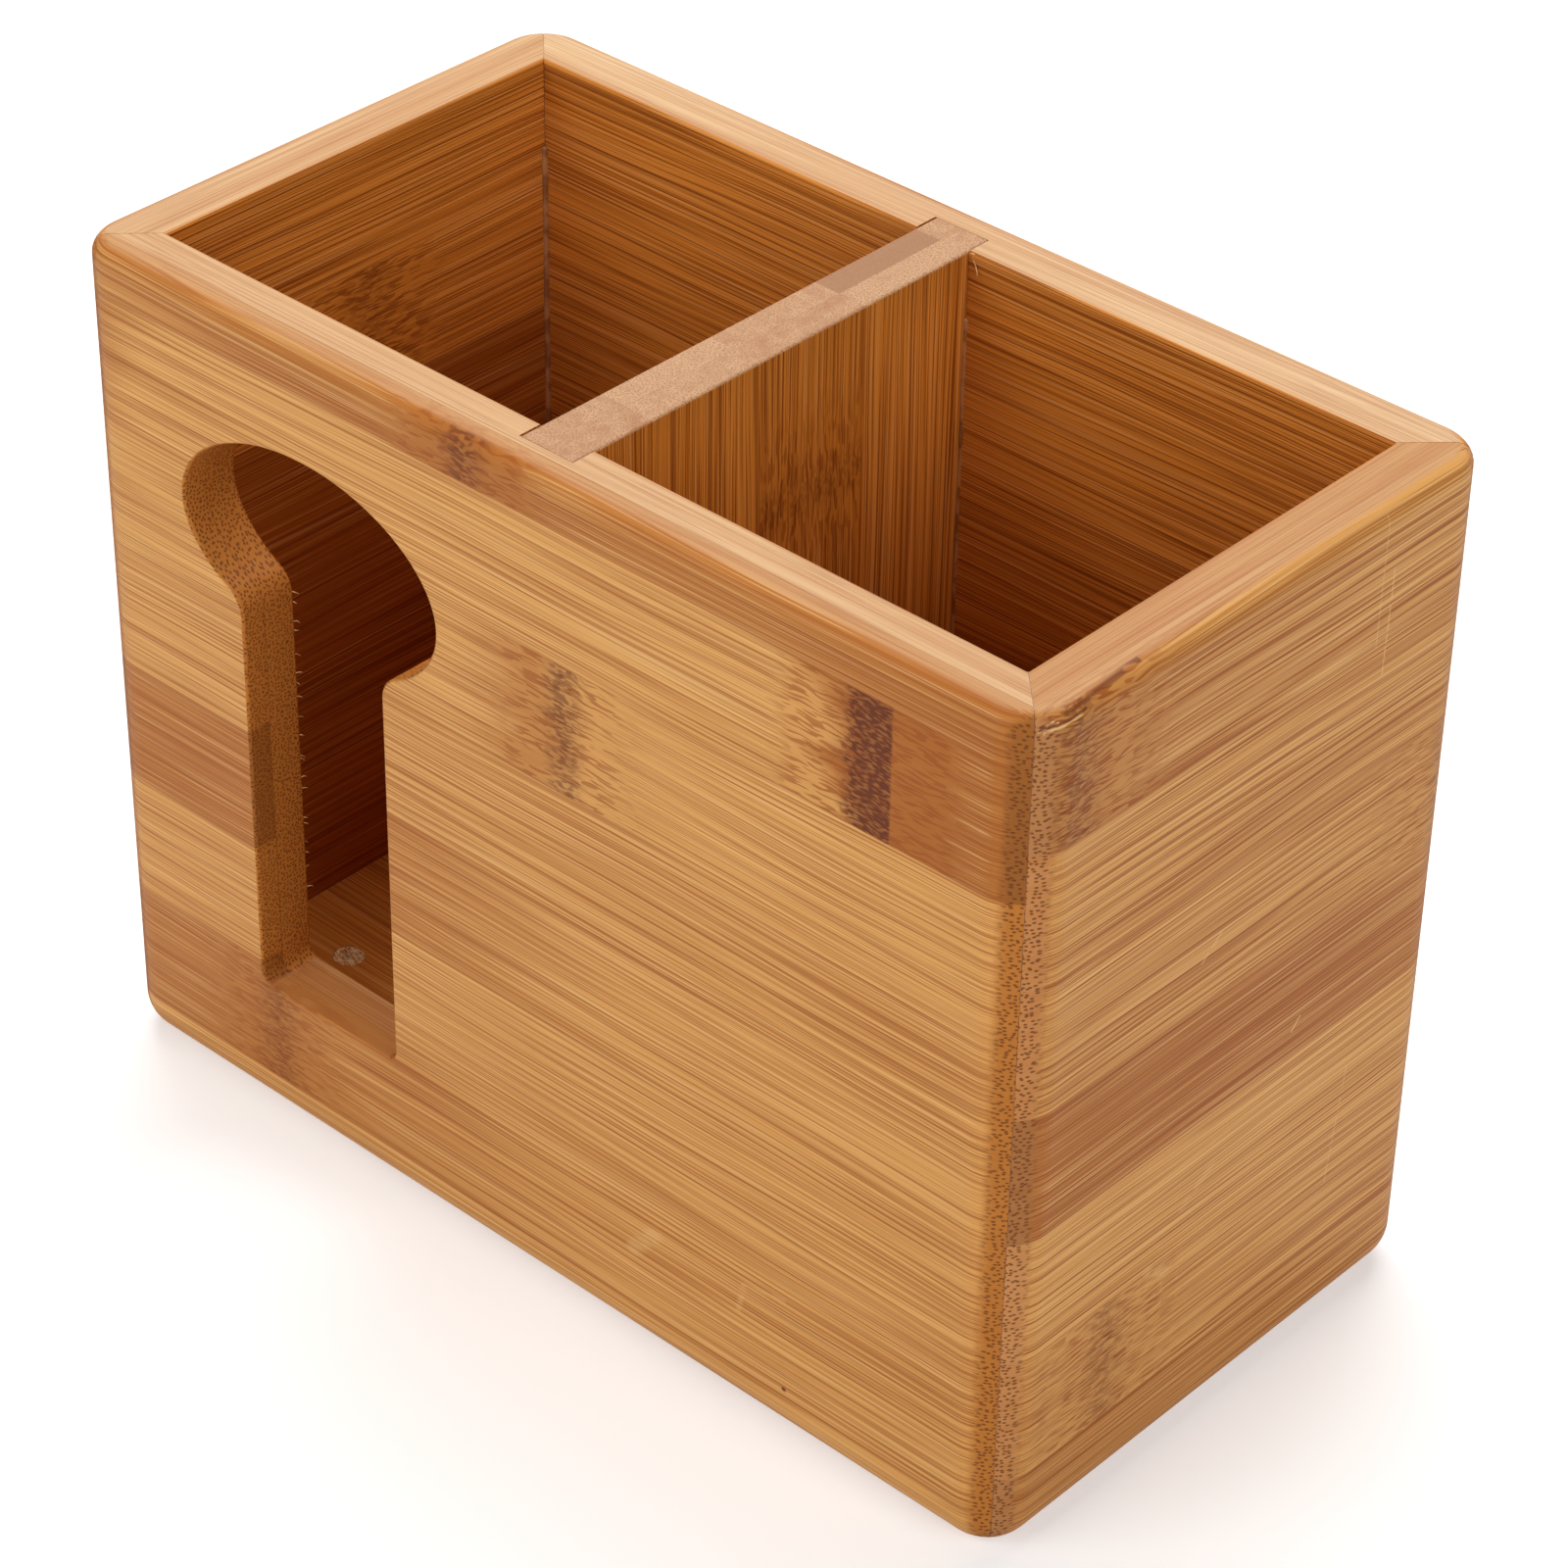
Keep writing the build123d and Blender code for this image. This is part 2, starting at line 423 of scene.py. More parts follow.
def board_grain(w, entry):
    """The strips and the fibres of a board, which wander a little, and more where they pass a joint."""
    place = entry["Board Position"]
    halo = entry["Halo"]
    x, y, z = w.split(place)
    drift = w.noise(w.stretched(place, 12.0, 70.0))
    swirl = w.noise(w.stretched(place, 240.0, 380.0), 0.0)
    fibre_z = w.sum(z, w.sway(drift, 0.0024), w.product(w.sway(swirl, 0.0009), halo))
    layer, chance, seam = strip_layout(w, entry, y, z)
    own = w.vector("ADD", w.join(x, y, fibre_z), chance["Color"])
    # The wood just under the outer face shows no new fibres, so that lines run on round an edge
    under = w.math("MAXIMUM", y, 2.5 * MM)
    fibre = w.vector("ADD", w.join(x, under, fibre_z), chance["Color"])
    haze = w.noise(w.stretched(fibre, 8.0, 300.0))
    chopped = w.noise(w.stretched(fibre, 800.0, 2400.0), 0.0)
    coarse, long_lines, lines = fibre_lines(w, fibre, halo)
    from_glue = w.math("ABSOLUTE", w.math("SUBTRACT", y, entry["Glue Plane"]))
    glue = w.span(from_glue, 0.22 * MM, 0.05 * MM)
    return Grain(y, z, layer, chance, seam, own, fibre, haze, chopped, coarse, long_lines, lines, glue)


def wood_colour(w, entry, grain):
    """Colour along the grain: the strip's own tone, its stained patches and painted shade, its dark and
    pale lines and its joints; the inner layer's colours carry painted shade of the compartments.
    """
    halo = entry["Halo"]
    tone = w.sum(w.sway(grain.chance["Value"], 0.22), w.sway(grain.haze, 0.18), entry["Stain"],
                 w.product(halo, 0.12), 0.08, clamp=True)
    # Faces in the inner layer, inside the compartments, take the inner colours, which carry painted shade
    # of the compartments on top of the wood's own tone.
    wood = w.mix(tone, w.mix(grain.layer, entry["Light"], entry["Inner Light"]),
                 w.mix(grain.layer, entry["Brown"], entry["Inner Brown"]))
    pale_lines = w.product(w.span(grain.coarse, 0.44, 0.34), w.math("SUBTRACT", 1.0, halo),
                           w.span(entry["Slant"], 0.20, 0.04),
                           w.math("SUBTRACT", 1.0, w.product(grain.layer, 0.5)), 0.42)
    wood = w.mix(pale_lines, wood, entry["Pale Fibre"])
    depth = w.math("MULTIPLY", w.span(grain.layer, 0.0, 1.0, 0.70, 0.80, smooth=False),
                   entry["Line Strength"], clamp=True)
    wood = w.mix(w.product(grain.lines, depth), wood,
                 w.mix(grain.layer, entry["Bundle"], entry["Inner Bundle"]))
    mark = w.math("MULTIPLY", entry["Joint"], w.span(grain.chopped, 0.46, 0.58, 0.34, 1.0), clamp=True)
    wood = w.mix(mark, wood, entry["Joint Mark"])
    flecks = w.product(entry["Joint"], w.span(grain.chopped, 0.40, 0.30), 0.05)
    wood = w.mix(flecks, wood, entry["Pale Fibre"])
    return w.mix(w.product(grain.seam, 0.22), wood, entry["Bundle"])


def edge_colour(w, entry, grain):
    """Colour of a cut along the grain, where both layers and the glue between them show."""
    cut = w.mix(grain.layer, entry["Edge Outer"], entry["Edge Inner"])
    below_rim = w.math("LESS_THAN", grain.z, RIM - 7 * MM)
    browner = w.sum(w.sway(grain.haze, 1.6), w.product(below_rim, 0.45), 0.12, clamp=True)
    cut = w.mix(browner, cut, entry["Brown"])
    cut = w.mix(w.product(grain.long_lines, 0.42), cut, entry["Bundle"])
    return w.mix(w.product(grain.glue, 0.16), cut, entry["End Dot"])


def end_dots(w, entry, grain):
    """The cut ends of the fibre bundles."""
    _, across, up = w.split(grain.own)
    scale = entry["Dots Per Metre"]
    return w.span(w.spots(w.product(across, scale), w.product(up, scale)), 0.36, 0.18)


def end_colour(w, entry, grain, dots):
    """Colour across the grain, with the dots and the glue between the layers."""
    cloud = w.noise(w.stretched(grain.fibre, 40.0, 420.0))
    browner = w.sum(w.sway(cloud, 0.8), w.sway(grain.chance["Value"], 0.35), 0.14, clamp=True)
    end = w.mix(browner, entry["End Ground"], entry["Brown"])
    end = w.mix(w.math("MULTIPLY", entry["Stain"], 0.60, clamp=True), end, entry["End Dot"])
    end = w.mix(w.product(dots, 0.80), end, entry["End Dot"])
    return w.mix(w.product(grain.glue, 0.25), end, entry["End Dot"])


def bamboo_board_group():
    """Laminated bamboo: glued strips in two layers, fibre bundles along the grain, dots across it."""
    tree, w, entry, leave = new_group(
        "Bamboo Board",
        {"Vector": "Board Position",
         "Float": "Slant, Edge Grain, Stain, Joint, Halo, Line Strength, Seed, First Seam, "
                  "Strip Height, Glue Plane, Dots Per Metre",
         "Color": "Light, Brown, Inner Light, Inner Brown, Inner Bundle, Bundle, Pale Fibre, "
                  "Joint Mark, Edge Outer, Edge Inner, End Ground, End Dot"},
        {"Color": "Color", "Float": "Roughness, Height"})
    grain = board_grain(w, entry)
    dots = end_dots(w, entry, grain)
    along = w.mix(entry["Edge Grain"], wood_colour(w, entry, grain), edge_colour(w, entry, grain))
    end_grain = w.span(entry["Slant"], 0.22, 0.50)
    w.put(leave["Color"], w.mix(end_grain, along, end_colour(w, entry, grain, dots)))
    w.put(leave["Roughness"], w.sum(w.product(grain.lines, 0.08),
                                    w.product(end_grain, 0.18), 0.42))
    relief = w.sum(w.product(grain.lines, -0.30), w.product(dots, end_grain, -0.5),
                   w.product(w.span(grain.chopped, 0.50, 0.62), entry["Joint"], -0.25),
                   w.product(grain.seam, -0.3))
    w.put(leave["Height"], relief)
    return tree


def colour_property(name, description, *display):
    """A colour that a user can change, with its default as 0 to 255 display values."""
    return bpy.props.FloatVectorProperty(name=name, description=description, subtype="COLOR", size=3,
                                         min=0.0, max=1.0, default=srgb(*display))


def length_property(name, description, least, most, default):
    """A length that a user can change, in metres."""
    return bpy.props.FloatProperty(name=name, description=description, unit="LENGTH",
                                   min=least, max=most, default=default)


def share_property(name, description, default, most=1.0):
    """A strength or share that a user can change."""
    return bpy.props.FloatProperty(name=name, description=description, subtype="FACTOR",
                                   min=0.0, max=most, default=default)


def power_property(name, description, default):
    """A lamp's power that a user can change, in watts."""
    return bpy.props.FloatProperty(name=name, description=description, unit="POWER",
                                   min=0.0, max=500.0, default=default)


def seed_property(description, default):
    """The start of a piece's random numbers."""
    return bpy.props.IntProperty(name="Seed", description=description, min=0, max=1000, default=default)


class BoardLook(bpy.types.PropertyGroup):
    """Colours and finish of the carbonised bamboo boards."""

    light: colour_property("Light Wood", "Golden wood between the fibre bundles", 228, 167, 92)
    brown: colour_property("Brown Wood", "Wood of the darker, more carbonised strips", 178, 104, 36)
    # The three inner colours are the wood's own grain and tone with painted shade: darker and deeper in
    # colour than the outer faces, as the compartments' insides lie in shade.
    inner_light: colour_property(
        "Inner Light Wood", "Golden wood of the faces inside the compartments", 220, 138, 50)
    inner_brown: colour_property(
        "Inner Brown Wood", "Darker strips inside the compartments", 150, 76, 18)
    inner_bundle: colour_property(
        "Inner Fibre Bundle", "Dark lines along the grain inside the compartments", 114, 46, 6)
    bundle: colour_property("Fibre Bundle", "Reddish lines along the grain", 154, 74, 14)
    pale_fibre: colour_property("Pale Fibre", "Light lines between the reddish ones", 246, 200, 134)
    joint_mark: colour_property("Joint Mark", "Dark mark where the culm had a joint", 108, 48, 14)
    edge_brown: colour_property(
        "Brown Edge", "Brownest of the boards' sanded edges, on the rim", 200, 145, 86)
    # The back rim takes nearly all of this pale colour, partly as painted highlight.
    edge_pale: colour_property(
        "Pale Edge", "Palest of the boards' sanded edges, on the rim", 232, 194, 146)
    wall_end: colour_property(
        "Wall's End Grain", "Cut across the grain at the corners and the keyhole", 190, 118, 46)
    end_board_end: colour_property(
        "End Board's End Grain", "Paler cut across the grain of the two end boards", 206, 142, 84)
    wall_dot: colour_property(
        "Wall's End Grain Dots", "Cut ends of the fibre bundles in the walls", 104, 50, 10)
    wall_dot_gap: length_property(
        "Wall's Dot Spacing", "Distance from one cut fibre bundle to the next", 0.0002, 0.003, 0.00066)
    divider_end: colour_property(
        "Divider's End Grain", "Dull end grain on the divider's top", 206, 160, 120)
    divider_dot: colour_property(
        "Divider's End Grain Dots", "Cut ends of the fibre bundles in the divider", 170, 122, 86)
    divider_dot_gap: length_property(
        "Divider's Dot Spacing", "Distance from one cut fibre bundle to the next", 0.0002, 0.003, 0.00050)
    outer_layer: length_property(
        "Outer Layer", "Thickness of the outer layer of strips", 0.001, 0.01, 0.0045)
    relief: length_property(
        "Relief", "Height of the grain that can be felt through the lacquer", 0.0, 0.001, 0.00010)
    lacquer: share_property("Lacquer", "Strength of the satin coat", 0.08)


class GlueLook(bpy.types.PropertyGroup):
    """The glue that shows in the joints."""

    film: length_property("Film", "Thickness of the glue film in each mitre", 0.00002, 0.0001, 0.00009)
    film_inset: length_property(
        "Film Inset", "How far the film's edge lies below the sanded surface", 0.00001, 0.001, 0.00008)
    bead: length_property(
        "Bead Radius", "Radius of the squeezed-out bead in an inner corner", 0.0002, 0.002, 0.00080)
    crumb: length_property(
        "Crumb Radius", "Radius of the thin crumbly bead beside the divider", 0.0001, 0.001, 0.00045)
    clear_part: colour_property("Light Glue", "Thick, milky part of the glue", 180, 124, 76)
    dark_part: colour_property("Dark Glue", "Thin part of the glue, stained by the wood", 138, 84, 42)


class PlugLook(bpy.types.PropertyGroup):
    """The round plugs in the floor."""

    crinkle: length_property(
        "Crinkle", "How far the crushed end fibres stand out of line", 0.0, 0.0006, 0.00030)
    pale: colour_property("Pale Fibres", "Shiny crushed fibres of the plug's end", 255, 222, 164)
    deep: colour_property("Deep Fibres", "Fibres that lie deeper in the plug's end", 192, 124, 66)
    seed: seed_property("Start of the random crinkles", 11)


class FibreLook(bpy.types.PropertyGroup):
    """Fibres that the tools tore up along the cut edges."""

    thickness: length_property(
        "Thickness", "Thickness of a torn fibre at its root", 0.00005, 0.001, 0.00030)
    color: colour_property("Fresh Fibre", "Colour of bamboo that the finish missed", 232, 184, 122)
    shadow: colour_property("Fibre Root", "Darker wood at the root of a torn fibre", 176, 116, 62)
    seed: seed_property("Start of the hairs' random heights and lengths", 5)


class StageLook(bpy.types.PropertyGroup):
    """Camera and lamps."""

    lens: bpy.props.FloatProperty(
        name="Lens", description="Focal length of the camera", unit="CAMERA", min=10.0, max=300.0,
        default=111.8606)
    key_power: power_property("Overhead Power", "Power of the softbox above the organizer", 12.5)
    front_power: power_property("Front Power", "Power of the softbox on the front wall's side", 8.0)
    side_power: power_property("Side Power", "Power of the softbox on the right end's side", 7.6)
    fill: share_property("Fill", "Strength of the even light from all round", 0.045, most=2.0)
    paper_lift: share_property("Paper Lift", "How much whiter the floor shows to the camera", 0.38)


def shared(name, build):
    """A node group by name, built the first time that it is asked for."""
    return bpy.data.node_groups.get(name) or build()


def opaque(colour):
    """A colour property as the four numbers that a colour socket takes."""
    return (*colour, 1.0)


def blended(first, second, share):
    """A colour between two others, with this share of the second."""
    return tuple(a + (b - a) * share for a, b in zip(first, second))


def new_material(name):
    """A material with its Principled shader, and the wiring to fill it."""
    material = bpy.data.materials.new(name)
    material.use_nodes = True
    return material, Wiring(material.node_tree), material.node_tree.nodes["Principled BSDF"]


def board_marks(w, board, place, glue_plane):
    """Everything that marks single strips of a board: the joints' bands and halos, and the stained patches
    together with the painted shade at the foot of the inner walls.
    """

    def seams(mark, strips):
        low = board.first_seam + mark.strip * board.strip
        return {"Low": low, "High": low + strips * board.strip}

    inner = w.math("GREATER_THAN", w.split(place)["Y"], glue_plane)
    outer = w.math("SUBTRACT", 1.0, inner)
    joint_tree = shared("Culm Joint", culm_joint_group)
    band, halo, stain_and_shade = 0.0, 0.0, 0.0
    for joint in board.joints:
        strength = w.product(inner if joint.inside else outer, joint.strength)
        mark = w.group(joint_tree, Board_Position=place, Along=joint.along, Reach=joint.reach,
                       Strength=strength, Sharp=joint.sharp, **seams(joint, 1))
        band = w.math("MAXIMUM", band, mark["Band"])
        halo = w.math("MAXIMUM", halo, mark["Halo"])
    stain_tree = shared("Stained Strip", stained_and_shaded_strip_group)
    for patch in board.stains:
        depth = w.product(inner if patch.inside else outer, patch.depth)
        mark = w.group(stain_tree, Board_Position=place, Clear=patch.clear, Full=patch.full,
                       Depth=depth, **seams(patch, patch.strips))
        stain_and_shade = w.sum(stain_and_shade, mark["Stain"])
    return band, halo, stain_and_shade


def bumped(w, height, distance):
    """The normal of a surface that this height, times this distance, lifts."""
    bump = w.node("Bump")
    bump.inputs["Strength"].default_value = 1.0
    bump.inputs["Distance"].default_value = distance
    w.put(bump.inputs["Height"], height)
    return bump.outputs["Normal"]


def board_material(board, look, end_color, end_dot, dot_gap, glue_plane):
    """The finish of one board, with its own strips, joints, stained patches, painted shade and scuffs."""
    material, w, shader = new_material("bamboo_" + board.node)
    spot = w.node("TexCoord")
    turned = w.node("Mapping", vector_type="POINT")
    w.put(turned.inputs["Vector"], spot.outputs["Object"])
    turned.inputs["Rotation"].default_value = board.turn
    turned.inputs["Location"].default_value = board.shift
    place = turned.outputs["Vector"]

    def facing(axis, start, end):
        share = w.math("ABSOLUTE", w.vector("DOT_PRODUCT", spot.outputs["Normal"], axis))
        return w.span(share, start, end, smooth=False)

    band, halo, stain_and_shade = board_marks(w, board, place, glue_plane)
    # The divider and the floor lie inside the compartments and take the inner colours whole, with their
    # painted shade; the walls take the outer colours, and the inner ones only in their inner layer.
    light, brown = look.inner_light, look.inner_brown
    if board in WALL_BOARDS:
        light, brown = look.light, look.brown
    wood = w.group(
        shared("Bamboo Board", bamboo_board_group), Board_Position=place,
        Slant=facing(board.grain, 0.0, 1.0), Edge_Grain=facing(board.across, 0.90, 0.99),
        Stain=stain_and_shade, Joint=band, Halo=halo, Line_Strength=board.lines, Seed=board.seed,
        First_Seam=board.first_seam, Strip_Height=board.strip, Glue_Plane=glue_plane,
        Dots_Per_Metre=1.0 / dot_gap, Light=opaque(light), Brown=opaque(brown),
        Inner_Light=opaque(look.inner_light), Inner_Brown=opaque(look.inner_brown),
        Inner_Bundle=opaque(look.inner_bundle),
        Bundle=opaque(look.bundle), Pale_Fibre=opaque(look.pale_fibre), Joint_Mark=opaque(look.joint_mark),
        Edge_Outer=opaque(blended(look.edge_brown, look.edge_pale, board.rim[0])),
        Edge_Inner=opaque(blended(look.edge_brown, look.edge_pale, board.rim[1])),
        End_Ground=opaque(end_color), End_Dot=opaque(end_dot),
    )
    color = wood["Color"]
    scuff_tree = shared("Scuff", scuff_group)
    for scuff in board.scuffs:
        (start_x, start_z), (end_x, end_z) = scuff.start, scuff.end
        mark = w.group(scuff_tree, Board_Position=place, Start=(start_x, 0.0, start_z),
                       End=(end_x, 0.0, end_z), Width=scuff.width, Strength=scuff.strength)
        color = w.mix(mark["Mask"], color, opaque(look.joint_mark if scuff.dark else look.pale_fibre))

    w.put(shader.inputs["Base Color"], color)
    w.put(shader.inputs["Roughness"], wood["Roughness"])
    w.put(shader.inputs["Normal"], bumped(w, wood["Height"], look.relief))
    shader.inputs["Specular IOR Level"].default_value = 0.16
    shader.inputs["Coat Weight"].default_value = look.lacquer
    shader.inputs["Coat Roughness"].default_value = 0.35
    return material


def mottled_material(name, light, dark, along, aside, roughness, relief):
    """A plain finish that wavers between two colours, along X and across it."""
    material, w, shader = new_material(name)
    place = w.node("TexCoord").outputs["Object"]
    mottle = w.noise(w.stretched(place, along, aside), 2.0)
    w.put(shader.inputs["Base Color"], w.mix(w.span(mottle, 0.38, 0.60), opaque(dark), opaque(light)))
    w.put(shader.inputs["Normal"], bumped(w, mottle, relief))
    shader.inputs["Roughness"].default_value = roughness
    return material


def dress(board, end_color, end_dot, dot_gap, glue_plane):
    """Gives a board of the frame its finish."""
    look = bpy.context.scene.board_look
    material = board_material(board, look, end_color, end_dot, dot_gap, glue_plane)
    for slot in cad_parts[board.node].material_slots:
        slot.material = material


def choose(piece, parts, test):
    """In edit mode, selects the verts, edges or faces that pass the test, and nothing else."""
    bpy.ops.mesh.select_mode(type={"verts": "VERT", "edges": "EDGE", "faces": "FACE"}[parts])
    bpy.ops.mesh.select_all(action="DESELECT")
    mesh = bmesh.from_edit_mesh(piece.data)
    for part in getattr(mesh, parts):
        part.select_set(test(part))
    mesh.select_flush_mode()
    bmesh.update_edit_mesh(piece.data)


def new_piece(name):
    """Names the primitive that was just added, and takes it into edit mode."""
    piece = bpy.context.active_object
    piece.name = name
    piece.data.name = name
    bpy.ops.object.mode_set(mode="EDIT")
    return piece


def place_piece(piece, place, turn):
    """Leaves edit mode and puts the piece at its place, with the place in its mesh."""
    bpy.ops.object.mode_set(mode="OBJECT")
    piece.location = place
    piece.rotation_euler = turn
    bpy.ops.object.transform_apply(location=True, rotation=True, scale=True)


def apply_modifier(piece, kind, **settings):
    """Adds a modifier to the active piece and applies it."""
    modifier = piece.modifiers.new(kind.title(), kind)
    for name, value in settings.items():
        setattr(modifier, name, value)
    bpy.ops.object.modifier_apply(modifier=modifier.name)


def select_only(pieces):
    """Selects these pieces alone, with the first of them active."""
    bpy.ops.object.select_all(action="DESELECT")
    for piece in pieces:
        piece.select_set(True)
    bpy.context.view_layer.objects.active = pieces[0]


def merge(name, pieces):
    """Joins like pieces into one object with this name."""
    select_only(pieces)
    whole = pieces[0]
    if len(pieces) > 1:
        bpy.ops.object.join()
    whole.name = name
    whole.data.name = name
    return whole


def finish(piece, material):
    """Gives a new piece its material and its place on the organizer."""
    piece.data.materials.clear()
    piece.data.materials.append(material)
    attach(piece, BODY)


def rod(name, radius, length, sides, rings):
    """A round rod along Z about the origin, in edit mode, with this many rings of vertices along it."""
    bpy.ops.object.select_all(action="DESELECT")
    bpy.ops.mesh.primitive_cylinder_add(vertices=sides, radius=radius, depth=length)
    piece = new_piece(name)
    choose(piece, "edges", lambda edge: abs(edge.verts[0].co.z - edge.verts[1].co.z) > length / 2)
    bpy.ops.mesh.subdivide(number_cuts=rings)
    return piece


class ORGANIZER_OT_dress_walls(bpy.types.Operator):
    """Give the four mitred walls their bamboo, each with its own strips and marks"""

    bl_idname = "organizer.dress_walls"
    bl_label = "Dress Walls"

    def execute(self, context):
        look = context.scene.board_look
        for board in WALL_BOARDS:
            end_color = look.wall_end if board.grain == (1, 0, 0) else look.end_board_end
            dress(board, end_color, look.wall_dot, look.wall_dot_gap, look.outer_layer)
        return {"FINISHED"}


class ORGANIZER_OT_dress_divider(bpy.types.Operator):
    """Give the upright divider its bamboo, with end grain on top"""

    bl_idname = "organizer.dress_divider"
    bl_label = "Dress Divider"

    def execute(self, context):
        look = context.scene.board_look
        dress(DIVIDER_BOARD, look.divider_end, look.divider_dot, look.divider_dot_gap, DIVIDER_SIDE)
        return {"FINISHED"}


class ORGANIZER_OT_dress_floor(bpy.types.Operator):
    """Give the floor board its bamboo"""

    bl_idname = "organizer.dress_floor"
    bl_label = "Dress Floor"

    def execute(self, context):
        look = context.scene.board_look
        dress(FLOOR_BOARD, look.wall_end, look.wall_dot, look.wall_dot_gap, look.outer_layer)
        return {"FINISHED"}


# The four corners of the box, as the sides of the X and Y axes that they lie on
CORNERS = tuple((x_side, y_side) for x_side in (-1, 1) for y_side in (-1, 1))
# What sanding takes off the box's corners and edges, so that a film stays inside it
CORNER_ROUND = 8.5 * MM
BASE_ROUND = 7.5 * MM
RIM_ROUND = 3.0 * MM
ROUND_STEPS = 6


def glue_film(look):
    """A thin film of glue about the origin, as it fills a mitre from its inner to its outer corner.

    It comes with how far its middle lies outside the inner corner, along X and along Y.
    """
    inset = look.film_inset
    diagonal = WALL * math.sqrt(2) - CORNER_ROUND * (math.sqrt(2) - 1)
    width = diagonal - 2 * inset
    height = RIM - LOW.z - 2 * inset
    bpy.ops.object.select_all(action="DESELECT")
    bpy.ops.mesh.primitive_plane_add(size=1.0)
    film = new_piece("glue_film")
    bpy.ops.transform.resize(value=(width, height, 1.0), center_override=(0, 0, 0))
    for edge_y, round_off in ((-height / 2, BASE_ROUND), (height / 2, RIM_ROUND)):
        corner = Vector((width / 2, edge_y, 0))
        choose(film, "verts", lambda vert: (vert.co - corner).length < 1 * MM)
        bpy.ops.mesh.bevel(offset=round_off, segments=ROUND_STEPS, affect="VERTICES")
    bpy.ops.object.mode_set(mode="OBJECT")
    apply_modifier(film, "SOLIDIFY", thickness=look.film, offset=0.0)
    return film, (diagonal / 2) / math.sqrt(2)


def copied(piece):
    """A copy of a piece, with a mesh of its own."""
    copy = piece.copy()
    copy.data = piece.data.copy()
    bpy.context.scene.collection.objects.link(copy)
    return copy


def glue_material(look):
    """Dried glue, the same in the films and the beads."""
    return bpy.data.materials.get("dried_glue") or mottled_material(
        "dried_glue", look.clear_part, look.dark_part, along=260.0, aside=260.0, roughness=0.35,
        relief=0.1 * MM)


class ORGANIZER_OT_fill_mitres(bpy.types.Operator):
    """Fill the four mitres with their thin films of glue"""

    bl_idname = "organizer.fill_mitres"
    bl_label = "Fill Mitres"

    def execute(self, context):
        look = context.scene.glue_look
        first, aside = glue_film(look)
        films = [first, *(copied(first) for _ in CORNERS[1:])]
        for film, (x_side, y_side) in zip(films, CORNERS):
            select_only([film])
            place = (x_side * (INNER_X + aside), y_side * (INNER_Y + aside), (RIM + LOW.z) / 2)
            place_piece(film, place, (math.pi / 2, 0, math.atan2(y_side, x_side)))
        finish(merge("glue_films", films), glue_material(look))
        return {"FINISHED"}


# A bead of glue up a corner of the back wall: its place along X, how far under the rim it stops, how
# uneven it is, and the start of its random shape. All begin just over the floor.
Bead = namedtuple("Bead", "name x stop rough seed")
CORNER_BEAD = Bead("corner", -INNER_X, 16 * MM, 0.20 * MM, 3)
RIGHT_BEAD = Bead("right", DIVIDER_SIDE, 12 * MM, 0.45 * MM, 4)
LEFT_BEAD = Bead("left", -DIVIDER_SIDE, 30 * MM, 0.40 * MM, 8)
BEAD_START = FLOOR_TOP + 1 * MM
BEAD_SIDES = 8
# The gap between a bead's rings, as a share of its radius
BEAD_GAP = 0.8


def glue_bead(bead, radius):
    """A bead of glue of this radius, uneven along its length."""
    high = RIM - bead.stop
    gap = radius * BEAD_GAP
    piece = rod(bead.name, radius, high - BEAD_START, BEAD_SIDES, int((high - BEAD_START) / gap))
    bpy.ops.mesh.select_all(action="SELECT")
    bpy.ops.transform.vertex_random(offset=bead.rough, seed=bead.seed)
    place_piece(piece, (bead.x, INNER_Y, (BEAD_START + high) / 2), (0, 0, 0))
    apply_modifier(piece, "SUBSURF", levels=1, render_levels=1)
    bpy.ops.object.shade_smooth()
    return piece


class ORGANIZER_OT_lay_glue_beads(bpy.types.Operator):
    """Lay the beads of glue that were squeezed out in the inner corners"""

    bl_idname = "organizer.lay_glue_beads"
    bl_label = "Lay Glue Beads"

    def execute(self, context):
        look = context.scene.glue_look
        corner = glue_bead(CORNER_BEAD, look.bead)
        right = glue_bead(RIGHT_BEAD, look.crumb)
        left = glue_bead(LEFT_BEAD, look.crumb)
        finish(merge("corner_glue_bead", [corner]), glue_material(look))
        finish(merge("divider_glue_beads", [left, right]), glue_material(look))
        return {"FINISHED"}


# A plug's radius, and its crushed end: the lip round it, the rings that crinkle, how far they sink
# and how the lip's edge is eased
PLUG_RADIUS = 2.8 * MM
PLUG_LIP = 0.25 * MM
PLUG_RING = 0.38 * MM
PLUG_RINGS = 6
PLUG_SINK = 0.25 * MM
PLUG_EASE = 0.12 * MM
PLUG_SIDES = 36


